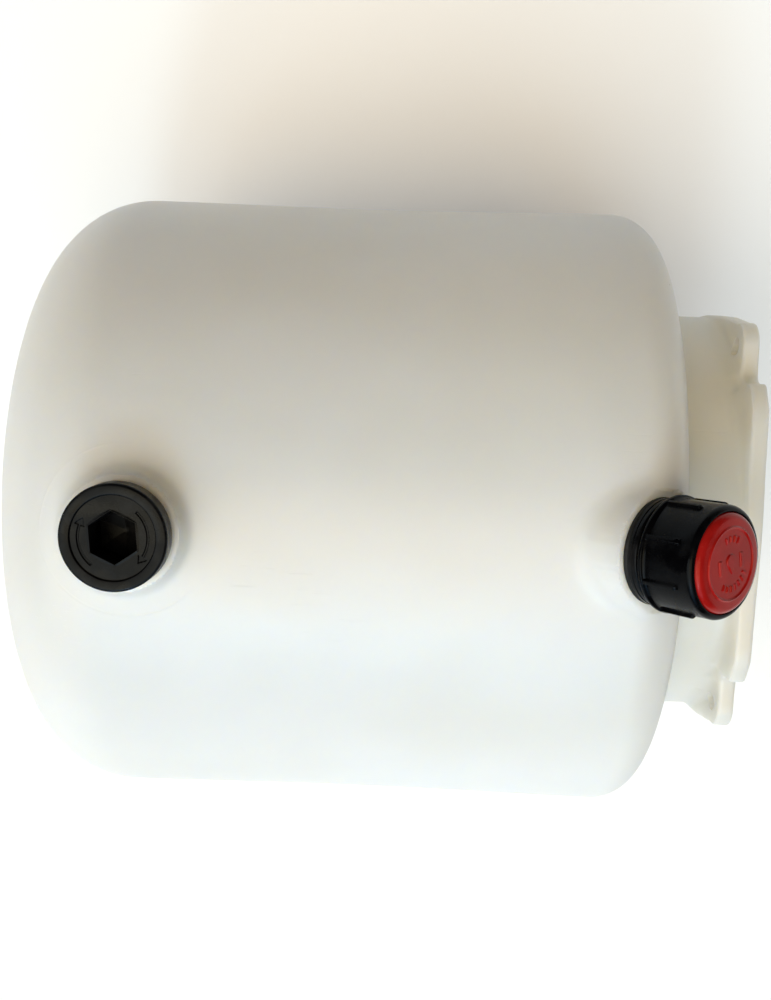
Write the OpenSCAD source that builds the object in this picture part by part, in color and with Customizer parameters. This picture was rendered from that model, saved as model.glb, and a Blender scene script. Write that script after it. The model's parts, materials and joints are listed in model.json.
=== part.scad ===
// Oil expansion reservoir: a blow-moulded tank lying on its side, with a flanged neck at one end,
// a screw plug on top near the domed end and a tilted filler breather on the shoulder.
// Millimetres. The origin is the centre of the neck mouth, in the plane of the flange face.
// +X leaves the tank through the neck, and +Z is the side that the two ports are on.

/* [Tank body] */
// Outer radius of the body
body_r = 98.5; // [95:0.5:105]
// Length of the body, from the tip of its domed end to its shoulder face
body_len = 204; // [190:1:240]
// Wall thickness
wall_t = 4.5; // [3.5:0.5:5.5]
// Radius of the shallow dome that closes the far end
dome_r = 253; // [240:1:300]
// Radius of the edge between the dome and the side wall
end_edge_r = 31; // [26:1:36]
// Radius of the edge between the side wall and the shoulder face
shoulder_r = 14; // [12:1:16]

/* [Neck and flange] */
// Outer radius of the neck
neck_r = 66.2; // [65.5:0.1:66.5]
// Radius of the bore through the neck
neck_bore_r = 61.5; // [58:0.5:62]
// Length of the neck, from the shoulder face to the flange face
neck_len = 26.6; // [24:0.1:30]
// Radius of the fillet at the root of the neck
neck_fillet_r = 3; // [2:0.5:4]
// Thickness of the flange
flange_t = 5; // [4:0.5:6]
// Distance from the axis to the flange's flat edges at +Z and -Z
flange_flat = 65.3; // [65:0.1:66]
// Radius that rounds off the ends of those flat edges
flange_round_r = 75; // [74:0.5:76]
// Half the width of the flat lands along Y
flange_land_y = 44.5; // [42:0.5:45]
// Half the distance between the ear holes along Y
ear_y = 55.5; // [55:0.5:57]
// Half the distance between the ear holes along Z
ear_z = 44; // [43.5:0.5:45]
// Outer radius of an ear
ear_r = 7.2; // [6.5:0.1:8]
// Distance from the axis to the middles of the flange's bowed sides at +Y and -Y
flange_side = 66.4; // [66.3:0.1:67.5]
// Radius of those bowed sides
flange_side_r = 240; // [200:5:300]
// Radius of an ear hole, a clearance hole for an M5 screw
ear_hole_r = 2.75; // [2.6:0.05:2.9]

/* [Ports] */
// Radius of the port bores, which the screw shanks run in
port_bore_r = 10.48; // [10.46:0.01:10.5]
// Outer radius of the port bosses
boss_r = 16; // [15.5:0.5:18]
// Distance from the tip of the domed end to the plug's axis
plug_from_end = 52.6; // [50:0.1:60]
// Height of the plug's boss over the body
plug_boss_h = 3.5; // [3:0.5:5]
// Depth of the thread in a port boss
port_depth = 15; // [14.5:0.5:18]
// Tilt of the breather towards the neck, in degrees from +Z
breather_tilt = 40.6; // [38:0.1:45]
// Distance along X from the shoulder face back to the centre of the breather's seat
breather_back = 9.9; // [8:0.1:11]
// Height of the breather's seat above the tank's axis
breather_z = 96.1; // [95:0.1:98]

/* [Screw plug] */
// Radius of the plug's head
plug_r = 14.2; // [13.5:0.1:15]
// Thickness of the plug's head
plug_head_h = 6.3; // [5:0.1:7]
// Radius of the recess in the plug's face
plug_recess_r = 11.1; // [10.5:0.1:11.5]
// Depth of that recess
plug_recess_h = 0.6; // [0.4:0.1:1]
// Width across the flats of the hexagon socket
socket_af = 12; // [10:1:12]
// Depth of the hexagon socket below the recess
socket_depth = 11; // [9:0.5:12]
// Turn of the hexagon socket when the plug is screwed home, in degrees
socket_turn = 5; // [0:1:30]

/* [Shared by both closures] */
// Radius of the threaded shanks
shank_r = 10.43; // [10.4:0.01:10.44]
// Length of the threaded shanks below the seat
shank_len = 12; // [10:0.5:13]
// Thickness of the flat gaskets
gasket_t = 1.5; // [1:0.1:2]
// Inner radius of the flat gaskets
gasket_in_r = 10.75; // [10.7:0.05:11]

/* [Breather] */
// Radius of the breather's lower flange
base_flange_r = 14.4; // [14:0.1:15]
// Thickness of the breather's lower flange
base_flange_h = 2.8; // [2:0.1:3]
// Radius of the spigot that carries the cap
spigot_r = 11; // [10.8:0.1:11.2]
// Radius of the air passage through the base
passage_r = 7.5; // [6.5:0.5:8]
// Height of the air gap between the flange and the cap
air_gap = 1.4; // [1:0.1:2]
// Outer radius of the cap's barrel
cap_r = 14.7; // [14.5:0.1:15]
// Wall thickness of the cap's barrel
cap_wall = 2.3; // [2.2:0.1:2.6]
// Height of the cap's rim above the seat
cap_top = 21.2; // [20.5:0.1:22]
// Number of grip ribs
rib_count = 8; // [6:1:12]
// How far the grip ribs stand out of the barrel
rib_out = 0.9; // [0.5:0.1:1.2]
// Width of a grip rib
rib_w = 1.3; // [1:0.1:2]
// Height of the tops of the grip ribs above the seat
rib_top = 16.8; // [15:0.1:18]
// Radius of the coloured disc
disc_r = 13; // [12.8:0.1:13.2]
// Thickness of the coloured disc
disc_t = 2.5; // [2.3:0.1:2.7]
// Height of the disc's middle above its rim
disc_crown_h = 0.55; // [0.4:0.05:0.7]

/* [Hidden] */
round_fn = 180;
arc_fn = 96;
small_fn = 48;
end_x = -neck_len - body_len;
shoulder_x = -neck_len;
plug_x = end_x + plug_from_end;
plug_z = body_r + plug_boss_h;
breather_x = shoulder_x - breather_back;
spotface_margin = 0.5;
plug_edge_r = 0.8;
shank_chamfer = 1;
cap_bottom = gasket_t + base_flange_h + air_gap;
spigot_top = cap_bottom + 5.4;
carrier_t = 1.2;
carrier_r = cap_r - cap_wall - 0.2;
cap_ceiling = 17.2;
cap_edge_r = 1.4;
cap_collar_h = 1.1;
disc_bottom = cap_top + 0.7 - disc_t;
disc_face = disc_bottom + disc_t + disc_crown_h;
disc_gap = 0.1;
disc_edge_r = 0.9;
disc_crown_r = 9.8;
disc_ring_r = 9.3;
emboss_h = 0.25;
drop_r = 1.7;
mark_r = 6.4;
mark_turn = 12;
guard_t = 1.6;
guard_hole_r = 1.1;
overlap = 1;

// Turns a half outline, drawn as radius and position along X, about the X axis
module turn_about_x() {
  rotate([0, 90, 0])
    rotate_extrude($fn = round_fn)
      children();
}

// Places children on the plug's seat
module at_plug() {
  translate([plug_x, 0, plug_z])
    children();
}

// Places children on the breather's tilted seat
module at_breather() {
  translate([breather_x, 0, breather_z])
    rotate([0, breather_tilt, 0])
      children();
}

// Half outline of the body, moved inwards by inset
module body_outline(inset) {
  r = body_r - inset;
  edge_r = end_edge_r - inset;
  arc_r = dome_r - inset;
  face_r = shoulder_r - inset;
  face_x = shoulder_x - inset;
  dome_x = end_x + dome_r;
  edge_x = dome_x - sqrt(pow(dome_r - end_edge_r, 2) - pow(body_r - end_edge_r, 2));
  touch_r = arc_r * (r - edge_r) / (arc_r - edge_r);
  translate([0, edge_x])
    square([r, face_x - face_r - edge_x]);
  translate([0, face_x - face_r - overlap])
    square([r - face_r, face_r + overlap]);
  translate([r - face_r, face_x - face_r])
    circle(r = face_r, $fn = arc_fn);
  translate([r - edge_r, edge_x])
    circle(r = edge_r, $fn = arc_fn);
  intersection() {
    translate([0, dome_x])
      circle(r = arc_r, $fn = 4 * round_fn);
    translate([0, end_x])
      square([touch_r, edge_x - end_x + overlap]);
  }
}

// Half outline of the neck's wall with the fillet at its root
module neck_outline() {
  translate([neck_bore_r, shoulder_x - wall_t])
    square([neck_r - neck_bore_r, neck_len + wall_t]);
  difference() {
    translate([neck_r - overlap, shoulder_x - overlap])
      square([neck_fillet_r + overlap, neck_fillet_r + overlap]);
    translate([neck_r + neck_fillet_r, shoulder_x + neck_fillet_r])
      circle(r = neck_fillet_r, $fn = small_fn);
  }
}

// Outline of the flange plate, drawn as Z and Y
module flange_outline() {
  circle(r = neck_r, $fn = round_fn);
  intersection() {
    circle(r = flange_round_r, $fn = round_fn);
    square([2 * flange_flat, 2 * flange_land_y], center = true);
  }
  intersection() {
    square([2 * ear_z, 2 * flange_side], center = true);
    translate([0, flange_side - flange_side_r])
      circle(r = flange_side_r, $fn = 4 * round_fn);
    translate([0, flange_side_r - flange_side])
      circle(r = flange_side_r, $fn = 4 * round_fn);
  }
  square([2 * (ear_z + ear_r), 2 * ear_y], center = true);
  at_ears()
    circle(r = ear_r, $fn = small_fn);
}

// Repeats children at the four ears, in the flange's plane
module at_ears() {
  for (z = [-ear_z, ear_z])
    for (y = [-ear_y, ear_y])
      translate([z, y])
        children();
}

// Flange plate
module flange() {
  translate([-flange_t, 0, 0])
    rotate([0, 90, 0])
      linear_extrude(flange_t)
        flange_outline();
}

// One port boss, its seat at z = 0 and its thread going down
module port_boss() {
  translate([0, 0, -port_depth])
    cylinder(r = boss_r, h = port_depth, $fn = arc_fn);
}

// The hole of one port
module port_hole() {
  translate([0, 0, -2 * port_depth])
    cylinder(r = port_bore_r, h = 2 * port_depth + overlap, $fn = arc_fn);
}

module tank_shell() {
  color("ivory")
    difference() {
      union() {
        difference() {
          turn_about_x()
            body_outline(0);
          turn_about_x()
            body_outline(wall_t);
        }
        turn_about_x()
          neck_outline();
        flange();
        at_plug()
          port_boss();
        at_breather()
          port_boss();
      }
      translate([shoulder_x - 2 * wall_t, 0, 0])
        rotate([0, 90, 0])
          cylinder(r = neck_bore_r, h = neck_len + 3 * wall_t, $fn = round_fn);
      translate([-flange_t - overlap, 0, 0])
        rotate([0, 90, 0])
          at_ears()
            cylinder(r = ear_hole_r, h = flange_t + 2 * overlap, $fn = small_fn);
      at_plug()
        port_hole();
      at_breather()
        port_hole();
      at_breather()
        cylinder(r = boss_r + spotface_margin, h = shoulder_r, $fn = arc_fn);
    }
}

// Threaded shank below a seat, with a chamfered end
module shank() {
  translate([0, 0, shank_chamfer - shank_len])
    cylinder(r = shank_r, h = shank_len + gasket_t - shank_chamfer, $fn = arc_fn);
  translate([0, 0, -shank_len])
    cylinder(r1 = shank_r - shank_chamfer, r2 = shank_r, h = shank_chamfer, $fn = arc_fn);
}

// Flat ring gasket on a seat
module gasket(r) {
  color("dimgray")
    difference() {
      cylinder(r = r, h = gasket_t, $fn = arc_fn);
      translate([0, 0, -overlap])
        cylinder(r = gasket_in_r, h = gasket_t + 2 * overlap, $fn = arc_fn);
    }
}

// Half outline of a round head with a rounded upper edge
module head_outline(r, bottom, top, edge_r) {
  translate([0, bottom])
    square([r, top - edge_r - bottom]);
  translate([0, bottom])
    square([r - edge_r, top - bottom]);
  translate([r - edge_r, top - edge_r])
    circle(r = edge_r, $fn = small_fn);
}

module plug_body() {
  face = gasket_t + plug_head_h;
  color("black")
    at_plug()
      difference() {
        union() {
          shank();
          rotate_extrude($fn = arc_fn)
            head_outline(plug_r, gasket_t, face, plug_edge_r);
        }
        translate([0, 0, face - plug_recess_h])
          cylinder(r = plug_recess_r, h = plug_recess_h + overlap, $fn = arc_fn);
        translate([0, 0, face - plug_recess_h - socket_depth])
          rotate([0, 0, 30 + socket_turn])
            cylinder(r = socket_af / 2 / cos(30), h = socket_depth + overlap, $fn = 6);
      }
}

module plug_gasket() {
  at_plug()
    gasket(plug_r - 0.4);
}

module breather_base() {
  color("black")
    at_breather()
      difference() {
        union() {
          shank();
          translate([0, 0, gasket_t])
            cylinder(r = base_flange_r, h = base_flange_h, $fn = arc_fn);
          translate([0, 0, gasket_t])
            cylinder(r = spigot_r, h = spigot_top - gasket_t, $fn = arc_fn);
        }
        translate([0, 0, -shank_len - overlap])
          cylinder(r = passage_r, h = spigot_top + shank_len + 2 * overlap, $fn = arc_fn);
      }
}

module breather_gasket() {
  at_breather()
    gasket(base_flange_r);
}

module breather_cap() {
  inner_r = cap_r - cap_wall;
  color("black")
    at_breather()
      difference() {
        union() {
          rotate_extrude($fn = arc_fn)
            head_outline(cap_r, cap_bottom, cap_top, cap_edge_r);
          translate([0, 0, cap_bottom])
            cylinder(r = cap_r + rib_out, h = cap_collar_h, $fn = arc_fn);
          for (i = [0 : rib_count - 1])
            rotate([0, 0, (i + 0.5) * 360 / rib_count])
              translate([inner_r + overlap, -rib_w / 2, cap_bottom])
                cube([cap_wall - overlap + rib_out, rib_w, rib_top - cap_bottom]);
        }
        difference() {
          translate([0, 0, cap_bottom - overlap])
            cylinder(r = inner_r, h = cap_ceiling - cap_bottom + overlap, $fn = arc_fn);
          snap_lugs(inner_r);
        }
        translate([0, 0, disc_bottom])
          cylinder(r = disc_r + disc_gap, h = disc_t + overlap, $fn = arc_fn);
      }
}

// Four lugs inside the cap that grip the spigot
module snap_lugs(inner_r) {
  lug_w = 4;
  lug_h = 3;
  difference() {
    for (a = [0 : 90 : 270])
      rotate([0, 0, a])
        translate([0, -lug_w / 2, spigot_top - lug_h])
          cube([inner_r + overlap, lug_w, lug_h]);
    translate([0, 0, cap_bottom - overlap])
      cylinder(r = spigot_r + 0.02, h = spigot_top, $fn = arc_fn);
  }
}

// Half outline of the coloured disc: a rounded edge, a crowned face and a thin raised ring
module disc_outline() {
  rim = disc_bottom + disc_t;
  head_outline(disc_r, disc_bottom, rim, disc_edge_r);
  polygon([
    [0, rim - disc_edge_r], [disc_r - disc_edge_r, rim - disc_edge_r], [disc_r - disc_edge_r, rim],
    [disc_crown_r, disc_face], [0, disc_face]
  ]);
  translate([disc_ring_r, disc_face])
    circle(r = emboss_h, $fn = small_fn);
}

// An oil drop between two strokes
module drop_outline() {
  translate([0, drop_r / 2]) {
    circle(r = drop_r, $fn = small_fn);
    polygon([[-drop_r * cos(30), -drop_r * sin(30)], [0, -2 * drop_r], [drop_r * cos(30), -drop_r * sin(30)]]);
  }
  for (x = [-4.4, 4.4])
    translate([x - 0.5, -1.9])
      square([1, 3.8]);
}

// Short strokes along an arc about a middle direction
module arc_marks(middle, count) {
  for (i = [0 : count - 1])
    rotate([0, 0, middle + (i - (count - 1) / 2) * 15])
      translate([mark_r - 0.8, -0.3])
        square([1.6, 0.6]);
}

module breather_disc() {
  color("firebrick")
    at_breather() {
      rotate_extrude($fn = arc_fn)
        disc_outline();
      translate([0, 0, disc_face - emboss_h])
        linear_extrude(2 * emboss_h) {
          rotate([0, 0, mark_turn])
            drop_outline();
          arc_marks(90, 4);
          arc_marks(-68, 7);
        }
    }
}

module filter_carrier() {
  hole_ring_r = 4.5;
  hole_r = 1.4;
  color("dimgray")
    at_breather()
      translate([0, 0, spigot_top])
        difference() {
          cylinder(r = carrier_r, h = carrier_t, $fn = arc_fn);
          for (a = [0 : 60 : 300])
            rotate([0, 0, a])
              translate([hole_ring_r, 0, -overlap])
                cylinder(r = hole_r, h = carrier_t + 2 * overlap, $fn = small_fn);
        }
}

module breather_filter() {
  color("gold")
    at_breather()
      translate([0, 0, spigot_top + carrier_t])
        cylinder(r = carrier_r, h = cap_ceiling - spigot_top - carrier_t, $fn = arc_fn);
}

module splash_guard() {
  hole_ring_r = 4.6;
  color("dimgray")
    at_breather()
      translate([0, 0, -shank_len])
        difference() {
          cylinder(r = passage_r, h = guard_t, $fn = arc_fn);
          for (a = [0 : 60 : 300])
            rotate([0, 0, a])
              translate([hole_ring_r, 0, -overlap])
                cylinder(r = guard_hole_r, h = guard_t + 2 * overlap, $fn = small_fn);
        }
}

tank_shell();
plug_body();
plug_gasket();
breather_base();
breather_gasket();
breather_cap();
breather_disc();
breather_filter();
filter_carrier();
splash_guard();
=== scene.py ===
import json
import math

import bpy
import numpy as np
from mathutils import Matrix, Vector


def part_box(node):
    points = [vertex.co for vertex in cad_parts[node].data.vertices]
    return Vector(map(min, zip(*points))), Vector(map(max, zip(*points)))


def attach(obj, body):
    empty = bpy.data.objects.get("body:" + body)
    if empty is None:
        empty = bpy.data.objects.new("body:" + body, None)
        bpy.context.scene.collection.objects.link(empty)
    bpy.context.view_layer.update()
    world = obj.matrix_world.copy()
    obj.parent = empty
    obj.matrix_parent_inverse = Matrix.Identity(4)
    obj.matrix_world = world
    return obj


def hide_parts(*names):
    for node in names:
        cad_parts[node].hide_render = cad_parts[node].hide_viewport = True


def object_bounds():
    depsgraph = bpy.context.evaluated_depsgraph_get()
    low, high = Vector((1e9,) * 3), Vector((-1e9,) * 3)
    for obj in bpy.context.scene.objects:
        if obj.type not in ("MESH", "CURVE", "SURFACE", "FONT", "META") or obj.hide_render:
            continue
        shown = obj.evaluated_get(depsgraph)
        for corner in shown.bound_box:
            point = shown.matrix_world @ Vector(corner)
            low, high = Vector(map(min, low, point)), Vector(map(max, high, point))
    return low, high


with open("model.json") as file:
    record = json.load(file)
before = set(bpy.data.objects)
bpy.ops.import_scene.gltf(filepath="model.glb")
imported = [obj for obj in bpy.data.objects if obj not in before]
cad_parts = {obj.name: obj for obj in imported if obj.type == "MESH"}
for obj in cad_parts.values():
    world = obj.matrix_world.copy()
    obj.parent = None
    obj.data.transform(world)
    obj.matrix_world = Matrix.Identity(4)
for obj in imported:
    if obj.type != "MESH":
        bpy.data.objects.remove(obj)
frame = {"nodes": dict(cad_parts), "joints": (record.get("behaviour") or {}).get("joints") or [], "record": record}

cad_low, cad_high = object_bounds()

# ---------------------------------------------------------------------------------------------
# Sizes, in millimetres. What the frame knows is read from it, and the rest are moulding details.
# ---------------------------------------------------------------------------------------------
MM = 0.001
record = frame["record"]
joints = {j["name"]: j for j in frame["joints"]}
mounts = {m["name"]: m for m in record["mounts"]}
shell_low, shell_high = (np.array(corner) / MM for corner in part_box("tank_shell"))

BODY_R = shell_high[1]
END_X = shell_low[0]
WALL = 4.5
DOME_R = 253.0
END_EDGE_R = 31.0
SHOULDER_R = 14.0
SHOULDER_X = -26.6
WAIST = 0.7

NECK_R = 66.2
BORE_R = mounts["neck_bore"]["dims"]["r_mm"]
FLANGE_T = 5.0
FLANGE_FLAT = 65.3
FLANGE_ROUND_R = 75.0
FLANGE_LAND_Y = 44.5
EAR_Y = mounts["flange_bolts"]["dims"]["spacing_x_mm"] / 2
EAR_Z = mounts["flange_bolts"]["dims"]["spacing_y_mm"] / 2
EAR_R = 7.2
EAR_HOLE_R = mounts["flange_bolts"]["dims"]["hole_r_mm"]
FLANGE_SIDE = 66.4
FLANGE_SIDE_R = 240.0
FLANGE_EDGE_R = 0.9

BOSS_R = 16.0
PORT_R = 10.48
PORT_DEPTH = 15.0
NECK_BLEND = 6.0
PLUG_BLEND = 3.4
BREATHER_BLEND = 4.0
ROOM_H = 24.0

# The rows of the tank's skin are close together outside this plain stretch of the side wall
PLAIN_FROM_X = -156.0
PLAIN_TO_X = -76.0

PITCH = 1.814
CREST_R = 10.43
ROOT_R = 9.3
SHANK = 12.0
GASKET_T = 1.5
PLUG_R = 14.2
BREATHER_FLANGE_R = 14.4
DISC_R = 13.0
DISC_RING_R = 9.3


def joint_axis(name):
    """Unit vector along a joint's axis."""
    axis = np.array(joints[name]["axis"], float)
    return axis / np.linalg.norm(axis)


def joint_seat(name):
    """The point that a joint's axis passes through, in millimetres."""
    return np.array(joints[name]["pos_m"], float) / MM


PLUG_SEAT, PLUG_AXIS = joint_seat("plug_turn"), joint_axis("plug_turn")
BREATHER_SEAT, BREATHER_AXIS = joint_seat("breather_turn"), joint_axis("breather_turn")
PORTS = ((PLUG_SEAT, PLUG_AXIS), (BREATHER_SEAT, BREATHER_AXIS))


# ---------------------------------------------------------------------------------------------
# Mesh helpers
# ---------------------------------------------------------------------------------------------
def add_mesh(name, points, faces, sharp_degrees=35.0):
    """A smooth-shaded object from points in millimetres."""
    mesh = bpy.data.meshes.new(name)
    mesh.from_pydata((np.asarray(points) * MM).tolist(), [], faces)
    mesh.validate()
    mesh.shade_smooth()
    mesh.set_sharp_from_angle(angle=math.radians(sharp_degrees))
    obj = bpy.data.objects.new(name, mesh)
    bpy.context.scene.collection.objects.link(obj)
    return obj


def grid_faces(rows, columns, wrap_rows=False):
    """Quads of a grid whose columns close on themselves."""
    faces = []
    for r in range(rows if wrap_rows else rows - 1):
        low, high = r * columns, (r + 1) % rows * columns
        for c in range(columns):
            d = (c + 1) % columns
            faces.append((low + c, low + d, high + d, high + c))
    return faces


def closed_skin(name, grid, first_pole=None, last_pole=None, sharp_degrees=35.0):
    """A closed skin from a grid of points by row and column, which ends in poles or wraps its rows."""
    rows, columns = grid.shape[:2]
    points = grid.reshape(-1, 3)
    faces = grid_faces(rows, columns, wrap_rows=first_pole is None)
    if first_pole is not None:
        points = np.vstack([points, first_pole, last_pole])
        first, last, top = rows * columns, rows * columns + 1, (rows - 1) * columns
        for c in range(columns):
            d = (c + 1) % columns
            faces.append((first, d, c))
            faces.append((last, top + c, top + d))
    return add_mesh(name, points, faces, sharp_degrees)


def spaced(start, stop, step):
    """Values from start up to, but not including, stop, about a step apart."""
    count = max(1, int(math.ceil(abs(stop - start) / step)))
    return np.linspace(start, stop, count + 1)[:-1]


def even_angles(count):
    return np.arange(count) * 2 * math.pi / count


def smooth_min(a, b, reach):
    """The lesser of two distances, rounded where they are within reach of each other."""
    share = np.clip(0.5 + 0.5 * (b - a) / reach, 0, 1)
    return b * (1 - share) + a * share - reach * share * (1 - share)


def puck_distance(points, seat, axis, radius, low, high, edge):
    """Distance from a round puck that stands on an axis from low to high, with rounded edges."""
    offset = points - seat
    height = offset @ axis
    across = np.linalg.norm(offset - height[..., None] * axis, axis=-1)
    side = across - (radius - edge)
    end = np.abs(height - (low + high) / 2) - ((high - low) / 2 - edge)
    outside = np.hypot(np.maximum(side, 0), np.maximum(end, 0))
    return np.minimum(np.maximum(side, end), 0) + outside - edge


# ---------------------------------------------------------------------------------------------
# Tank: one blow-moulded skin, traced along rays onto the distance of its blended shapes
# ---------------------------------------------------------------------------------------------
DOME_X = END_X + DOME_R
EDGE_X = DOME_X - math.sqrt((DOME_R - END_EDGE_R) ** 2 - (BODY_R - END_EDGE_R) ** 2)
EDGE_ANGLE = math.asin((BODY_R - END_EDGE_R) / (DOME_R - END_EDGE_R))
ROUND_X = SHOULDER_X - SHOULDER_R


def side_radius(x):
    """Radius of the side wall, which the moulding's shrinkage draws in at the waist."""
    middle, half = (EDGE_X + ROUND_X) / 2, (ROUND_X - EDGE_X) / 2
    return BODY_R - WAIST * np.clip(1 - ((x - middle) / half) ** 2, 0, 1) ** 2


def body_distance(x, rho, inset=0.0):
    """Distance outside the body, or outside its cavity when inset by the wall."""
    distance = rho - side_radius(x) + inset
    dome = np.hypot(x - DOME_X, rho) - DOME_R + inset
    end_edge = np.hypot(x - EDGE_X, rho - BODY_R + END_EDGE_R) - END_EDGE_R + inset
    on_dome = np.arctan2(rho, DOME_X - x) < EDGE_ANGLE
    distance = np.where(x < EDGE_X, np.where(on_dome, dome, end_edge), distance)
    corner = np.hypot(x - ROUND_X, rho - BODY_R + SHOULDER_R) - SHOULDER_R + inset
    face = x - SHOULDER_X + inset
    past = x > ROUND_X
    return np.where(past, np.where(rho > BODY_R - SHOULDER_R, corner, face), distance)


def flange_outline(points):
    """Distance across the axis from the flange's outline: flat lands, bowed sides and four ears."""
    y, z = np.abs(points[..., 1]), np.abs(points[..., 2])
    radius = np.hypot(y, z)
    land = np.maximum(np.maximum(radius - FLANGE_ROUND_R, z - FLANGE_FLAT), y - FLANGE_LAND_Y)
    bow = np.hypot(y + FLANGE_SIDE_R - FLANGE_SIDE, z) - FLANGE_SIDE_R
    plate = np.minimum(np.maximum(bow, z - EAR_Z), np.maximum(z - EAR_Z - EAR_R, y - EAR_Y))
    plate = np.minimum(plate, np.hypot(y - EAR_Y, z - EAR_Z) - EAR_R)
    return smooth_min(smooth_min(radius - NECK_R, plate, 2.0), land, 4.0)


def with_flange(skin, points):
    """Adds the flange, with a fillet that grows with how far it stands out of the neck."""
    outline = flange_outline(points)
    across = outline + FLANGE_EDGE_R
    through = np.abs(points[..., 0] + FLANGE_T / 2) - (FLANGE_T / 2 - FLANGE_EDGE_R)
    outside = np.hypot(np.maximum(across, 0), np.maximum(through, 0))
    slab = np.minimum(np.maximum(across, through), 0) + outside - FLANGE_EDGE_R
    proud = np.hypot(points[..., 1], points[..., 2]) - NECK_R - outline
    return smooth_min(skin, slab, np.clip(proud * 1.5, 0.6, NECK_BLEND))


def outer_distance(points):
    """Distance from the tank's outer skin."""
    x = points[..., 0]
    rho = np.hypot(points[..., 1], points[..., 2])
    neck = rho - NECK_R + np.maximum(-x - 60, 0)
    skin = with_flange(smooth_min(body_distance(x, rho), neck, NECK_BLEND), points)
    for (seat, axis), blend in zip(PORTS, (PLUG_BLEND, BREATHER_BLEND)):
        boss = puck_distance(points, seat, axis, BOSS_R, -PORT_DEPTH, 0, 1.0)
        skin = smooth_min(skin, boss, blend)
    for seat, axis in PORTS:
        room = puck_distance(points, seat, axis, BOSS_R + 0.5, 0, ROOM_H, 0.2)
        skin = -smooth_min(-skin, room, 0.6)
    return skin


def inner_distance(points):
    """Distance from the material seen from inside the cavity, where the port bosses stand in."""
    x = points[..., 0]
    rho = np.hypot(points[..., 1], points[..., 2])
    wall = -body_distance(x, rho, WALL)
    for seat, axis in PORTS:
        boss = puck_distance(points, seat, axis, BOSS_R, -PORT_DEPTH, 0, 1.0)
        wall = smooth_min(wall, boss, 3.0)
    return wall


def column_angles():
    """Angles round the tank from +Z, close together at the ports and at the ears."""
    half = np.concatenate([
        spaced(0, 15, 0.4), spaced(15, 33, 3), spaced(33, 62, 0.6),
        spaced(62, 118, 3), spaced(118, 147, 0.6), spaced(147, 180, 3)])
    other = -half[:0:-1]
    return np.radians(np.concatenate([half, [180.0], other]))


def ray(x, rho, out_degrees, lead):
    """A ray that starts a lead outside a point of the half plane, or inside it, and meets it."""
    out = np.array([math.cos(math.radians(out_degrees)), math.sin(math.radians(out_degrees))])
    towards = -math.copysign(1, lead) * out
    return [x + lead * out[0], rho + lead * out[1], *towards]


def arc_rays(centre_x, centre_r, radius, start, stop, step, lead):
    """Rays square to a convex arc, from outside it."""
    rays = []
    for degrees in spaced(start, stop, step):
        turn = math.radians(degrees)
        x, rho = centre_x + radius * math.cos(turn), centre_r + radius * math.sin(turn)
        rays.append(ray(x, rho, degrees, lead))
    return rays


def outer_rays():
    """Each row's ray onto the outer skin, from the tip of the dome to the rim of the flange."""
    edge_degrees = 180 - math.degrees(EDGE_ANGLE)
    far, near = PLAIN_FROM_X, PLAIN_TO_X
    rays = arc_rays(DOME_X, 0, DOME_R, 180 - math.degrees(EDGE_ANGLE) / 12, edge_degrees, 1.4, 8)
    rays += arc_rays(EDGE_X, BODY_R - END_EDGE_R, END_EDGE_R, edge_degrees, 116, 5, 8)
    rays += arc_rays(EDGE_X, BODY_R - END_EDGE_R, END_EDGE_R, 116, 90, 1.1, 8)
    rays += [ray(x, BODY_R, 90, 14) for x in spaced(EDGE_X, far, 0.6)]
    rays += [ray(x, BODY_R, 90, 14) for x in spaced(far, near, 8)]
    tilt = 90 - math.degrees(math.atan2(BREATHER_AXIS[0], BREATHER_AXIS[2]))
    along, up = BREATHER_AXIS[2], BREATHER_AXIS[0]
    reach = BOSS_R + 2
    first = BREATHER_SEAT - reach * np.array([along, 0, -up])
    last = BREATHER_SEAT + reach * np.array([along, 0, -up])
    wall_x = first[0] - (first[2] - BODY_R) * up / along
    face_r = last[2] - (last[0] - SHOULDER_X) * along / up
    for share in spaced(0, 1, 1 / 20):
        rays.append(ray(near + (wall_x - near) * share, BODY_R, 90 + (tilt - 90) * share, 14))
    for share in spaced(0, 1, 1 / 64):
        x, rho = (first + (last - first) * share)[[0, 2]]
        rays.append(ray(x, rho, tilt, 8))
    root_r = 5.0
    for share in spaced(0, 1, 1 / 14):
        rho = face_r + (NECK_R + root_r - face_r) * share
        rays.append(ray(SHOULDER_X, rho, tilt * (1 - share), 11))
    for degrees in spaced(180, 270, 12):
        turn = math.radians(degrees)
        rays.append([SHOULDER_X + root_r, NECK_R + root_r, math.cos(turn), math.sin(turn)])
    stretches = ((SHOULDER_X + root_r, -14, 2), (-14, -4.2, 0.35), (-4.2, -0.8, 0.85), (-0.8, 0, 0.16))
    for low, high, step in stretches:
        rays += [ray(x, NECK_R, 90, BODY_R - NECK_R - 9) for x in spaced(low, high, step)]
    return np.array(rays)


def fan_rays(points, core_x, core_r):
    """Rays from one point of the cavity towards points of its wall."""
    rays = []
    for x, rho in points:
        length = math.hypot(x - core_x, rho - core_r)
        rays.append([core_x, core_r, (x - core_x) / length, (rho - core_r) / length])
    return rays


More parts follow.
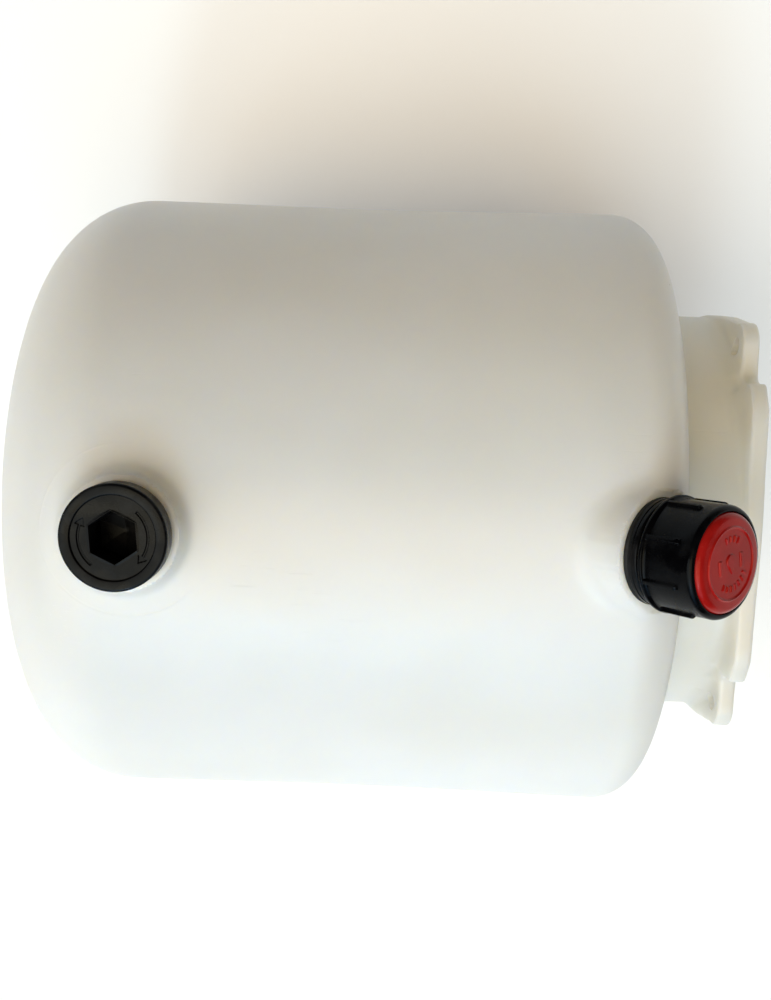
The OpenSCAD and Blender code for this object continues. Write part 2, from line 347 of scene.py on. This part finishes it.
def inner_rays():
    """The same for the cavity, from the neck back to the middle of the domed end."""
    core_x, core_r = -66.0, 60.0
    inner_x, inner_r, corner_r = SHOULDER_X - WALL, BODY_R - WALL, SHOULDER_R - WALL
    wall = [(inner_x, rho) for rho in spaced(BORE_R + 1.2, BODY_R - SHOULDER_R, 1.6)]
    for degrees in spaced(0, 90, 9):
        turn = math.radians(degrees)
        x, rho = ROUND_X + corner_r * math.cos(turn), BODY_R - SHOULDER_R + corner_r * math.sin(turn)
        wall.append((x, rho))
    wall += [(x, inner_r) for x in spaced(ROUND_X, core_x, 1.3)]
    rays = fan_rays(wall, core_x, core_r)
    for low, high, step in ((core_x, PLAIN_FROM_X, 15), (PLAIN_FROM_X, EDGE_X, 1.3)):
        rays += [[x, inner_r - 16, 0, 1] for x in spaced(low, high, step)]
    edge_degrees = 180 - math.degrees(EDGE_ANGLE)
    edge_r = END_EDGE_R - WALL
    for degrees in np.concatenate([spaced(90, 120, 3), spaced(120, edge_degrees, 6)]):
        rays += arc_rays(EDGE_X, BODY_R - END_EDGE_R, edge_r, degrees, degrees + 1, 2, -16)
    tip_degrees = 180 - math.degrees(EDGE_ANGLE) / 12
    rays += arc_rays(DOME_X, 0, DOME_R - WALL, edge_degrees, tip_degrees, 1.6, -16)
    return np.array(rays)


def trace(rays, angles, distance):
    """Follows each ray, in the half plane of each column, until it meets the skin."""
    sine, cosine = np.sin(angles), np.cos(angles)

    def around(along, rho):
        return np.stack([
            np.broadcast_to(along[:, None], (len(along), len(angles))),
            rho[:, None] * sine, rho[:, None] * cosine], -1)

    start = around(rays[:, 0], rays[:, 1])
    step = around(rays[:, 2], rays[:, 3])
    travel = np.zeros(start.shape[:2])
    for _ in range(60):
        travel += distance(start + step * travel[..., None]) * 0.9
    return start + step * travel[..., None]


def lathe_rows(profile, angles):
    """Rows of points about the X axis from (x, radius) pairs."""
    rows = [[[x, r * math.sin(a), r * math.cos(a)] for a in angles] for x, r in profile]
    return np.array(rows)


def rods(places):
    """One mesh of closed round rods, each from its foot, axis, radius, length and number of sides."""
    points, faces = [], []
    for foot, axis, radius, length, sides in places:
        turn = np.array(Vector(axis).to_track_quat("Z", "Y").to_matrix())
        base = len(points)
        for height in (0, length):
            for a in even_angles(sides):
                corner = (radius * math.cos(a), radius * math.sin(a), height)
                points.append(np.array(foot) + turn @ corner)
        low, high = range(base, base + sides), range(base + sides, base + 2 * sides)
        faces += [(low[i - 1], low[i], high[i], high[i - 1]) for i in range(sides)]
        faces += [tuple(low)[::-1], tuple(high)]
    return add_mesh("rods", points, faces)


def cut(obj, cutter):
    """Subtracts a closed mesh from an object and deletes it."""
    bpy.context.view_layer.objects.active = obj
    modifier = obj.modifiers.new("cut", "BOOLEAN")
    modifier.operation = "DIFFERENCE"
    modifier.solver = "EXACT"
    modifier.object = cutter
    bpy.ops.object.modifier_apply(modifier=modifier.name)
    bpy.data.objects.remove(cutter)


def build_tank():
    angles = column_angles()
    outer = trace(outer_rays(), angles, outer_distance)
    rim = outer[-1]
    rim_r = np.hypot(rim[:, 1], rim[:, 2])
    mouth_edge = 0.8
    mouth = []
    for share in (0.12, 0.4, 0.7, 0.93):
        rho = rim_r + (BORE_R + mouth_edge - rim_r) * share
        mouth.append(np.stack([0 * rho, rho * np.sin(angles), rho * np.cos(angles)], -1))
    turn = [math.radians(a) for a in (0, 30, 60, 90)]
    profile = [(mouth_edge * (math.cos(a) - 1), BORE_R + mouth_edge * (1 - math.sin(a))) for a in turn]
    inner_x = SHOULDER_X - WALL
    profile += [(x, BORE_R) for x in spaced(-4, inner_x + 1, 6)]
    profile += [(inner_x + 1 - math.sin(a), BORE_R + 1 - math.cos(a)) for a in turn]
    inner = trace(inner_rays(), angles, inner_distance)
    grid = np.concatenate([outer, np.array(mouth), lathe_rows(profile, angles), inner])
    tip, inner_tip = np.array([END_X, 0, 0]), np.array([END_X + WALL, 0, 0])
    tank = closed_skin("tank_moulding", grid, tip, inner_tip)
    below = 2 * PORT_DEPTH
    holes = []
    for seat, axis in PORTS:
        holes.append((seat - axis * below, axis, PORT_R, below + 5, 96))
    for y in (-EAR_Y, EAR_Y):
        for z in (-EAR_Z, EAR_Z):
            holes.append(((-2 * FLANGE_T, y, z), (1, 0, 0), EAR_HOLE_R, 3 * FLANGE_T, 32))
    cut(tank, rods(holes))
    tank.data.set_sharp_from_angle(angle=math.radians(35))
    return tank


# ---------------------------------------------------------------------------------------------
# Turned pieces: rows of (radius, height) about a seat's axis, each a number or one value a column
# ---------------------------------------------------------------------------------------------
def seat_grid(rows, angles, seat, axis):
    """Points of the rows, standing on a seat whose local Y is the tank's own Y."""
    cosine, sine = np.cos(angles), np.sin(angles)
    local = np.array([np.stack([r * cosine, r * sine, z + 0 * cosine], -1) for r, z in rows])
    across = np.array([0.0, 1.0, 0.0])
    return local @ np.array([np.cross(across, axis), across, axis]) + seat


def turned_cup(name, rows, angles, seat, axis):
    """A closed skin whose first and last rows end in poles."""
    first, last = rows[0][1], rows[-1][1]
    return closed_skin(
        name, seat_grid(rows, angles, seat, axis),
        seat + axis * np.mean(first), seat + axis * np.mean(last))


def turned_ring(name, rows, angles, seat, axis):
    """A closed skin round a hole, whose last row joins its first."""
    return closed_skin(name, seat_grid(rows, angles, seat, axis))


def arc(centre_r, centre_z, radius, start, stop, steps=5):
    """Profile points along an arc, in degrees from outwards towards the top."""
    turns = np.radians(np.linspace(start, stop, steps + 1))
    return [(centre_r + radius * math.cos(a), centre_z + radius * math.sin(a)) for a in turns]


def thread_rows(bottom, top, root, depth, angles):
    """Rows of a helical pipe thread that fades out at both ends."""
    rows = []
    for z in np.linspace(bottom, top, int((top - bottom) / PITCH * 10)):
        across = np.abs((z / PITCH - angles / (2 * math.pi)) % 1 - 0.5) * 2
        tooth = np.clip((5 / 6 - across) * 1.5, 0, 1)
        fade = min(1, (z - bottom) / 0.8, (top - z) / 0.8)
        rows.append((root + depth * tooth * fade, z))
    return rows


def shank_rows(angles):
    """The outside of a closure's shank, from its end up to the underside of its head."""
    end = -SHANK
    rows = [(ROOT_R - 0.7, end), (ROOT_R, end + 0.7)]
    rows += thread_rows(end + 0.9, -1.2, ROOT_R, CREST_R - ROOT_R, angles)
    return rows + [(ROOT_R, -0.9), (ROOT_R, GASKET_T - 0.4), (ROOT_R + 0.4, GASKET_T)]


def stroke(along, across, length, width):
    """Distance from a bar that is length long and width wide, about its own middle."""
    return np.maximum(np.abs(along) - length / 2, np.abs(across) - width / 2)


def relief(distance, edge=0.14):
    """1 inside an outline and 0 outside it, with a narrow slope between."""
    return np.clip(0.5 - distance / edge, 0, 1)


def build_plug():
    """Screw plug with a hexagon socket in a recessed face, marked with two turning arrows."""
    head_r, top, recess_r, floor = PLUG_R, GASKET_T + 6.3, 11.2, GASKET_T + 5.7
    socket_flat, socket_bottom, socket_turn = 6.0, floor - 11, math.radians(5)
    angles = even_angles(360)
    rows = [(ROOT_R * 0.6, -SHANK)] + shank_rows(angles)
    rows += arc(head_r - 0.3, GASKET_T + 0.3, 0.3, -90, 0, 3)
    rows += [(head_r, GASKET_T + 1.5), (head_r - 0.04, GASKET_T + 3.2), (head_r - 0.04, top - 1.6)]
    rows += arc(head_r - 0.84, top - 0.8, 0.8, 0, 90, 6)
    rows += arc(recess_r + 0.25, top - 0.25, 0.25, 90, 180, 3)
    rows += [(recess_r - 0.05, floor + 0.12), (recess_r - 0.17, floor)]
    sector = math.pi / 3
    hexagon = socket_flat / np.cos((angles - socket_turn - sector / 2) % sector - sector / 2)
    middle_r = 9.1
    for r in np.linspace(recess_r - 0.3, 7.7, 24):
        sink = 0 * angles
        for start, sweep in np.radians(((48, -92), (-128, -84))):
            turn = (angles - start + math.pi) % (2 * math.pi) - math.pi
            along = turn / sweep * abs(sweep) * middle_r
            length = abs(sweep) * middle_r
            shaft = stroke(along - length / 2 + 0.5, r - middle_r, length - 1, 0.6)
            head = np.maximum(np.abs(r - middle_r) * 1.1 + (along - length) * 0.75, length - 2 - along)
            sink = np.maximum(sink, relief(np.minimum(shaft, head)))
        rows.append((r, floor - 0.4 * sink))
    for share in (0.75, 0.4, 0.1):
        rows.append((hexagon + 0.45 + (7.6 - hexagon - 0.45) * share, floor))
    rows += [(hexagon + 0.3, floor + 0.12), (hexagon + 0.12, floor + 0.12), (hexagon, floor - 0.1)]
    rows += [(hexagon, floor - 3), (hexagon, socket_bottom), (hexagon * 0.15, socket_bottom - 3)]
    return turned_cup("plug_moulding", rows, angles, PLUG_SEAT, PLUG_AXIS)


def build_gasket(name, outer_r, seat, axis):
    """Flat rubber ring, slightly bulged by the closure that presses on it."""
    inner_r = 10.75
    rows = arc(outer_r - 0.45, GASKET_T / 2, 0.45, -90, 90, 8)
    low, high = GASKET_T / 2 - 0.7, GASKET_T / 2 + 0.7
    bulge = [(r, low + (z - GASKET_T / 2 + 0.45) / 0.9 * (high - low)) for r, z in rows]
    bulge += [(inner_r + 0.2, high), (inner_r, high - 0.2), (inner_r, low + 0.2), (inner_r + 0.2, low)]
    return turned_ring(name, bulge, even_angles(96), seat, axis)


def build_breather_base():
    """Threaded base with a flange on the gasket and the spigot that carries the cap."""
    flange_r, flange_low, flange_high = BREATHER_FLANGE_R, GASKET_T, GASKET_T + 2.8
    spigot_r, spigot_high, passage_r = 11.0, 11.1, 7.5
    angles = even_angles(120)
    rows = [(passage_r + 0.3, -SHANK)] + shank_rows(angles)
    rows += arc(flange_r - 0.4, flange_low + 0.4, 0.4, -90, 0, 4)
    rows += [(flange_r, flange_low + 1.1), (flange_r - 0.22, flange_low + 1.25)]
    rows += [(flange_r - 0.22, flange_low + 1.45), (flange_r - 0.05, flange_low + 1.6)]
    rows += arc(flange_r - 0.55, flange_high - 0.5, 0.5, 0, 90, 4)
    rows += [(spigot_r + 0.5, flange_high)] + arc(spigot_r + 0.5, flange_high + 0.5, 0.5, 270, 180, 3)
    rows += arc(spigot_r - 0.5, spigot_high - 0.5, 0.5, 0, 90, 3)
    rows += [(passage_r + 0.3, spigot_high), (passage_r, spigot_high - 0.3), (passage_r, 0)]
    rows += [(passage_r, -SHANK + 0.3)]
    return turned_ring("breather_base_moulding", rows, angles, BREATHER_SEAT, BREATHER_AXIS)


def build_cap():
    """Breather cap: a cup with a collar, eight grip ribs and a pocket for the coloured disc."""
    cap_r, inner_r, top, bottom, ceiling = 14.7, 12.4, 21.2, 5.7, 17.2
    ribs, rib_out, rib_half, rib_top = 8, 0.9, 0.62, 16.8
    pocket_r, pocket_floor = 13.1, 19.4
    lug_r, lug_low, lug_high = 11.02, 8.1, 11.1
    sector = 2 * math.pi / ribs
    offsets = np.array([0, 1.2, 1.7, 2.1, 2.4, 2.7, 3.1, 3.6, 4.4, 6, 9, 12, 15, 18, 20.5])
    offsets = np.radians(np.concatenate([-offsets[:0:-1], offsets, [22.5]]))
    angles = np.concatenate([offsets + (i + 0.5) * sector for i in range(ribs)])
    from_rib = np.tile(np.abs(offsets), ribs) * cap_r
    rib = np.clip((rib_half + 0.22 - from_rib) / 0.44, 0, 1)
    rib = rib * rib * (3 - 2 * rib)
    rows = [(6, pocket_floor), (pocket_r - 0.15, pocket_floor), (pocket_r, pocket_floor + 0.15)]
    rows += [(pocket_r, top - 0.15), (pocket_r + 0.12, top - 0.02)]
    rows += arc(cap_r - 1.45, top - 1.45, 1.45, 88, 0, 8)
    rows += [(cap_r, 18.4), (cap_r, rib_top + 0.15)]
    for z in (16.8, 16.75, 16.6, 16.35, 16.05, 15.7, 15.2, 13, 11, 9, 7.6):
        rise = math.sqrt(1 - min(1, max(0, (z - rib_top + 0.9) / 0.9)) ** 2)
        rows.append((cap_r + rib_out * rib * rise, z))
    collar_r = cap_r + rib_out
    rows.append((cap_r + 0.1 + (rib_out - 0.1) * rib, 7.15))
    rows.append((cap_r + 0.35 + (rib_out - 0.35) * rib, 6.9))
    rows += arc(collar_r - 0.3, bottom + 0.75, 0.3, 90, 0, 3)
    rows += arc(collar_r - 0.3, bottom + 0.3, 0.3, 0, -90, 3)
    rows += [(inner_r + 0.3, bottom), (inner_r, bottom + 0.3)]
    quarter = np.abs((angles + math.pi / 4) % (math.pi / 2) - math.pi / 4) * inner_r
    lug = lug_r + (inner_r - lug_r) * np.clip((quarter - 1.6) / 0.8, 0, 1)
    rows += [(inner_r, lug_low - 0.3), (lug, lug_low + 0.3), (lug, lug_high - 0.1), (inner_r, lug_high)]
    rows += [(inner_r, ceiling - 0.4), (inner_r - 0.4, ceiling), (6, ceiling)]
    return turned_cup("cap_moulding", rows[::-1], angles, BREATHER_SEAT, BREATHER_AXIS)


def disc_marks(x, y):
    """Raised marks of the disc: a thin ring, a drop between two strokes and two arcs of short bars."""
    r, turn = np.hypot(x, y), np.arctan2(y, x)
    height = relief(np.abs(r - DISC_RING_R) - 0.2, 0.3)
    tilt = math.radians(12)
    along, across = x * math.cos(tilt) + y * math.sin(tilt), y * math.cos(tilt) - x * math.sin(tilt)
    drop_r, tip = 1.7, 3.4
    low = across - drop_r / 2
    slope = math.asin(drop_r / tip)
    cone = np.abs(along) * math.cos(slope) - (low + tip) * math.sin(slope)
    drop = np.minimum(np.hypot(along, low) - drop_r, np.maximum(cone, low + drop_r * math.sin(slope)))
    height = np.maximum(height, relief(drop))
    height = np.maximum(height, relief(stroke(np.abs(along) - 4.4, across, 1.0, 3.8)))
    mark_r = 6.4
    for middle, count in ((90, 4), (-68, 7)):
        for i in range(count):
            at = math.radians(middle + (i - (count - 1) / 2) * 15)
            away = (turn - at + math.pi) % (2 * math.pi) - math.pi
            height = np.maximum(height, relief(stroke(away * mark_r, r - mark_r, 0.6, 1.6)))
    return height


def build_disc():
    """Coloured disc: a rounded rim, a crowned face and raised marks."""
    disc_r, low, rim, rim_r, face = DISC_R, 19.4, 22.35, 1.9, 22.45
    angles = even_angles(240)
    rows = [(6, low), (disc_r - 0.2, low), (disc_r, low + 0.2)]
    rows += arc(disc_r - rim_r, rim - rim_r, rim_r, 0, 86, 12)
    rows += [(10.6, rim + 0.03), (10.2, rim + 0.06), (9.8, face - 0.01)]
    for r in np.concatenate([np.linspace(9.68, 8.9, 10), [8.6], np.linspace(8.0, 0.3, 56)]):
        marks = disc_marks(r * np.cos(angles), r * np.sin(angles))
        rows.append((r, face + 0.32 * marks))
    return turned_cup("disc_moulding", rows, angles, BREATHER_SEAT, BREATHER_AXIS)


# ---------------------------------------------------------------------------------------------
# Materials
# ---------------------------------------------------------------------------------------------
class Finish:
    """A node material. Lengths are in metres, because every piece's own coordinates are."""

    def __init__(self, name, **surface):
        self.material = bpy.data.materials.new(name)
        self.material.use_nodes = True
        self.tree = self.material.node_tree
        self.shader = self.tree.nodes["Principled BSDF"]
        self.place = self.add("ShaderNodeTexCoord").outputs["Object"]
        for socket, value in surface.items():
            self.shader.inputs[socket.replace("_", " ")].default_value = value

    def add(self, kind, inputs=(), **settings):
        """Adds a node. Inputs are (socket, value or link) pairs."""
        node = self.tree.nodes.new(kind)
        for name, value in settings.items():
            setattr(node, name, value)
        for socket, value in inputs:
            self.put(node.inputs[socket], value)
        return node

    def put(self, socket, value):
        if isinstance(value, bpy.types.NodeSocket):
            self.tree.links.new(value, socket)
        else:
            socket.default_value = value

    def math(self, operation, *values):
        node = self.add("ShaderNodeMath", enumerate(values), operation=operation)
        return node.outputs[0]

    def stretched(self, scale, turn=(0, 0, 0)):
        """Coordinates scaled differently along each axis."""
        inputs = (("Vector", self.place), ("Scale", scale), ("Rotation", turn))
        return self.add("ShaderNodeMapping", inputs).outputs[0]

    def noise(self, size, detail=3.0, rough=0.5, place=None):
        """Noise whose features are about this size."""
        inputs = (
            ("Vector", place or self.place), ("Scale", 1 / size),
            ("Detail", detail), ("Roughness", rough))
        return self.add("ShaderNodeTexNoise", inputs).outputs[0]

    def cells(self, size, feature="F1"):
        inputs = (("Vector", self.place), ("Scale", 1 / size))
        return self.add("ShaderNodeTexVoronoi", inputs, feature=feature).outputs["Distance"]

    def band(self, value, low, high, start=0.0, stop=1.0):
        """Maps low to high onto start to stop, smoothly, and holds it beyond them."""
        inputs = (
            ("Value", value), ("From Min", low), ("From Max", high),
            ("To Min", start), ("To Max", stop))
        return self.add("ShaderNodeMapRange", inputs, interpolation_type="SMOOTHSTEP").outputs[0]

    def tint(self, share, first, second):
        """A colour between two, by share."""
        node = self.add("ShaderNodeMix", data_type="RGBA")
        self.put(node.inputs[0], share)
        self.put(node.inputs[6], (*first, 1) if isinstance(first, tuple) else first)
        self.put(node.inputs[7], (*second, 1) if isinstance(second, tuple) else second)
        return node.outputs[2]

    def bump(self, height, depth, over=None):
        """Relief of this depth in metres, on top of other relief."""
        inputs = [("Height", height), ("Distance", depth), ("Strength", 1.0)]
        if over:
            inputs.append(("Normal", over))
        return self.add("ShaderNodeBump", inputs).outputs[0]

    def hairlines(self, turn, spread, length, rarity):
        """Sparse straight scratches: long thin noise, kept only where a second noise is high."""
        lines = self.noise(1.0, 2.0, 0.6, self.stretched((1 / length, 1 / spread, 1 / spread), turn))
        patches = self.noise(length * 1.4, 1.0, 0.5)
        kept = self.band(patches, rarity, rarity + 0.08)
        return self.math("MULTIPLY", self.band(lines, 0.66, 0.72), kept)

    def vector(self, operation, *values):
        return self.add("ShaderNodeVectorMath", enumerate(values), operation=operation)

    def ring(self, seat, radius):
        """A fine line round an upright axis, which wanders a little."""
        foot = (float(seat[0]) / 1000, float(seat[1]) / 1000, 0)
        across = self.vector("SUBTRACT", self.place, foot).outputs[0]
        across = self.vector("MULTIPLY", across, (1, 1, 0)).outputs[0]
        reach = self.vector("LENGTH", across).outputs["Value"]
        wander = self.math("MULTIPLY_ADD", self.noise(0.02, 1.0, 0.3), 0.0012, reach)
        away = self.math("ABSOLUTE", self.math("SUBTRACT", wander, radius))
        return self.band(away, 0.0005, 0.0, 0.0, 1.0)

    def done(self, colour, roughness, normal):
        self.put(self.shader.inputs["Base Color"], colour)
        self.put(self.shader.inputs["Roughness"], roughness)
        self.put(self.shader.inputs["Normal"], normal)
        return self.material


def tank_finish():
    """Natural polyethylene: milky and softly scattering, with painted shade that darkens the colour towards the
    neck, lightly scratched.
    """
    f = Finish("tank_plastic", IOR=1.5, Subsurface_Weight=1.0, Subsurface_Scale=0.02)
    f.shader.inputs["Subsurface Radius"].default_value = (1.0, 0.85, 0.6)
    witness_r = 0.0241
    cloud = f.noise(0.07, 2.0, 0.45)
    colour = f.tint(f.band(cloud, 0.35, 0.65), (0.80, 0.785, 0.735), (0.845, 0.84, 0.80))
    along = f.add("ShaderNodeSeparateXYZ", ((0, f.place),)).outputs["X"]
    # Painted shade: the mask named thin darkens the colour along the axis towards the neck. It is not a real
    # difference in the plastic's colour.
    thin = f.band(along, -0.042, -0.006)
    colour = f.tint(thin, colour, (0.63, 0.625, 0.60))
    few = f.band(f.noise(0.05, 0.0), 0.6, 0.64)
    specks = f.math("MULTIPLY", f.band(f.cells(0.024), 0.02, 0.012), few)
    colour = f.tint(specks, colour, (0.16, 0.13, 0.10))
    scuffs = f.math("MAXIMUM", f.hairlines((0, 0, 0.5), 0.0005, 0.02, 0.56),
                    f.hairlines((0.3, 0.2, -1.1), 0.0004, 0.014, 0.58))
    cast = f.noise(0.0016, 4.0, 0.6)
    witness = f.math("MULTIPLY", f.ring(PLUG_SEAT, witness_r), f.band(cloud, 0.4, 0.6))
    roughness = f.math("ADD", f.band(cloud, 0.3, 0.7, 0.33, 0.42), f.math("MULTIPLY", scuffs, 0.2))
    relief_normal = f.bump(f.noise(0.03, 2.0, 0.4), 0.0006)
    relief_normal = f.bump(cast, 0.00002, relief_normal)
    relief_normal = f.bump(scuffs, -0.00003, relief_normal)
    relief_normal = f.bump(witness, 0.00008, relief_normal)
    return f.done(colour, roughness, relief_normal)


def moulded_finish(name, colour, worn, roughness, grain, gloss=0.16):
    """Dark injection-moulded plastic: a fine grain, dusty patches and a few scuffs."""
    f = Finish(name, IOR=1.5, Specular_IOR_Level=gloss, Specular_Tint=(0.75, 0.88, 1.0, 1.0))
    dust = f.noise(0.006, 4.0, 0.6)
    handled = f.noise(0.011, 2.0, 0.5)
    scuffs = f.math("MAXIMUM", f.hairlines((0, 0, 0.9), 0.0002, 0.005, 0.55),
                    f.hairlines((0.8, 0.4, -0.6), 0.0002, 0.004, 0.57))
    share = f.math("MAXIMUM", f.band(dust, 0.45, 0.75, 0.0, 0.6), scuffs)
    shade = f.tint(share, colour, worn)
    rough = f.band(dust, 0.35, 0.7, roughness - 0.06, roughness + 0.08)
    rough = f.math("ADD", rough, f.band(handled, 0.42, 0.58, -0.08, 0.1))
    rough = f.math("ADD", rough, f.math("MULTIPLY", scuffs, 0.15))
    normal = f.bump(f.noise(0.0005, 3.0, 0.6), grain)
    normal = f.bump(scuffs, -0.00001, normal)
    return f.done(shade, rough, normal)


def disc_finish():
    """Glossy red plastic, a little deeper in tone where it is worn smooth."""
    f = Finish("red_plastic", IOR=1.5, Specular_IOR_Level=0.22, Specular_Tint=(1.0, 0.42, 0.38, 1.0))
    patches = f.noise(0.008, 3.0, 0.5)
    scuffs = f.hairlines((0.4, 0.2, 0.7), 0.00015, 0.005, 0.55)
    colour = f.tint(f.band(patches, 0.35, 0.65), (0.255, 0.006, 0.005), (0.31, 0.009, 0.008))
    colour = f.tint(f.math("MULTIPLY", scuffs, 0.3), colour, (0.6, 0.15, 0.12))
    normal = f.bump(f.noise(0.0009, 2.0, 0.5), 0.000006)
    return f.done(colour, f.band(patches, 0.3, 0.7, 0.16, 0.24), normal)


def foam_finish():
    """Open-cell filter foam, with painted shade that darkens the middle of each pore."""
    f = Finish("filter_foam")
    pores = f.cells(0.0011)
    # Painted shade: the colour is darkest at the middle of each cell, where the bump recesses the pore.
    colour = f.tint(f.band(pores, 0.1, 0.55), (0.10, 0.075, 0.02), (0.46, 0.36, 0.12))
    return f.done(colour, f.band(pores, 0.1, 0.6, 0.95, 0.8), f.bump(pores, 0.0005))


def floor_finish():
    """Matt pale studio floor with the faintest mottling."""
    f = Finish("studio_floor", Emission_Color=(0.7, 0.82, 1.0, 1.0), Emission_Strength=0.12)
    mottle = f.noise(0.4, 3.0, 0.5)
    colour = f.tint(f.band(mottle, 0.35, 0.65), (0.81, 0.835, 0.87), (0.83, 0.855, 0.89))
    return f.done(colour, 0.85, f.bump(f.noise(0.002, 2.0, 0.5), 0.00002))


def dress(piece, finish):
    piece.data.materials.clear()
    piece.data.materials.append(finish)


# ---------------------------------------------------------------------------------------------
# The object
# ---------------------------------------------------------------------------------------------
black = moulded_finish(
    "black_plastic", (0.002, 0.002, 0.0025), (0.014, 0.014, 0.015), 0.32, 0.00002, 0.11)
cap_black = moulded_finish(
    "cap_plastic", (0.001, 0.001, 0.0015), (0.005, 0.005, 0.0055), 0.22, 0.000008, 0.08)
rubber = moulded_finish("seal_rubber", (0.014, 0.014, 0.014), (0.04, 0.04, 0.04), 0.68, 0.00003)
inner_grey = moulded_finish("inner_plastic", (0.05, 0.05, 0.052), (0.10, 0.10, 0.10), 0.5, 0.00002)

seal_rim = 0.4
pieces = (
    (build_tank(), "tank_shell", "tank", "tank_plastic", tank_finish()),
    (build_plug(), "plug_body", "plug", "black_plastic", black),
    (build_gasket("plug_seal_ring", PLUG_R - seal_rim, PLUG_SEAT, PLUG_AXIS),
     "plug_gasket", "plug_seal", "seal_rubber", rubber),
    (build_breather_base(), "breather_base", "breather", "black_plastic", black),
    (build_gasket("breather_seal_ring", BREATHER_FLANGE_R, BREATHER_SEAT, BREATHER_AXIS),
     "breather_gasket", "breather_seal", "seal_rubber", rubber),
    (build_cap(), "breather_cap", "breather", "cap_plastic", cap_black),
    (build_disc(), "breather_disc", "breather", "red_plastic", disc_finish()),
)
for piece, node, body, slot, finish in pieces:
    dress(piece, finish)
    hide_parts(node)
    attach(piece, body)

dress(frame["nodes"]["breather_filter"], foam_finish())
for node in ("filter_carrier", "splash_guard"):
    dress(frame["nodes"][node], inner_grey)


# ---------------------------------------------------------------------------------------------
# Studio
# ---------------------------------------------------------------------------------------------
def add_sun(name, direction, strength, spread_degrees, colour):
    """Broad soft light that comes from a direction."""
    lamp = bpy.data.lights.new(name, "SUN")
    lamp.energy = strength
    lamp.angle = math.radians(spread_degrees)
    lamp.color = colour
    obj = bpy.data.objects.new(name, lamp)
    obj.rotation_euler = Vector(direction).to_track_quat("Z", "Y").to_euler()
    bpy.context.scene.collection.objects.link(obj)


def add_floor(height, half=6.0):
    square = ((-half, -half), (half, -half), (half, half), (-half, half))
    corners = [(x, y, height) for x, y in square]
    floor = add_mesh("studio_floor", np.array(corners) / MM, [(0, 1, 2, 3)])
    dress(floor, floor_finish())


def add_camera():
    """The camera, nearly over the tank. Its view is turned a little about each axis."""
    eye = Vector((-0.1017, 0.0461, 0.3912))
    turns = (("X", -0.119), ("Y", 0.024), ("Z", 0.0372))
    matrix = Matrix.Translation(eye)
    for axis, angle in turns:
        matrix = matrix @ Matrix.Rotation(angle, 4, axis)
    camera = bpy.data.cameras.new("camera")
    camera.sensor_fit = "HORIZONTAL"
    camera.sensor_width = 36
    camera.lens = 52.43
    camera.clip_start = 0.01
    obj = bpy.data.objects.new("camera", camera)
    obj.matrix_world = matrix
    bpy.context.scene.collection.objects.link(obj)
    bpy.context.scene.camera = obj


add_floor(cad_low.z)
add_sun("window", (0.0, -0.72, 0.69), 1.2, 50, (0.30, 0.67, 1.0))
add_sun("strip", (-0.1, -0.7, 0.7), 0.5, 9, (0.62, 0.85, 1.0))
add_sun("ceiling", (0.0, -0.3, 0.95), 1.95, 50, (1.0, 0.76, 0.46))
add_sun("side", (-0.6, -0.3, 0.74), 1.5, 50, (1.0, 0.965, 0.87))
world = bpy.data.worlds.new("studio")
world.use_nodes = True
world.node_tree.nodes["Background"].inputs["Color"].default_value = (1.0, 0.9, 0.75, 1)
world.node_tree.nodes["Background"].inputs["Strength"].default_value = 0.04
bpy.context.scene.world = world
bpy.context.scene.view_settings.view_transform = "Standard"
add_camera()
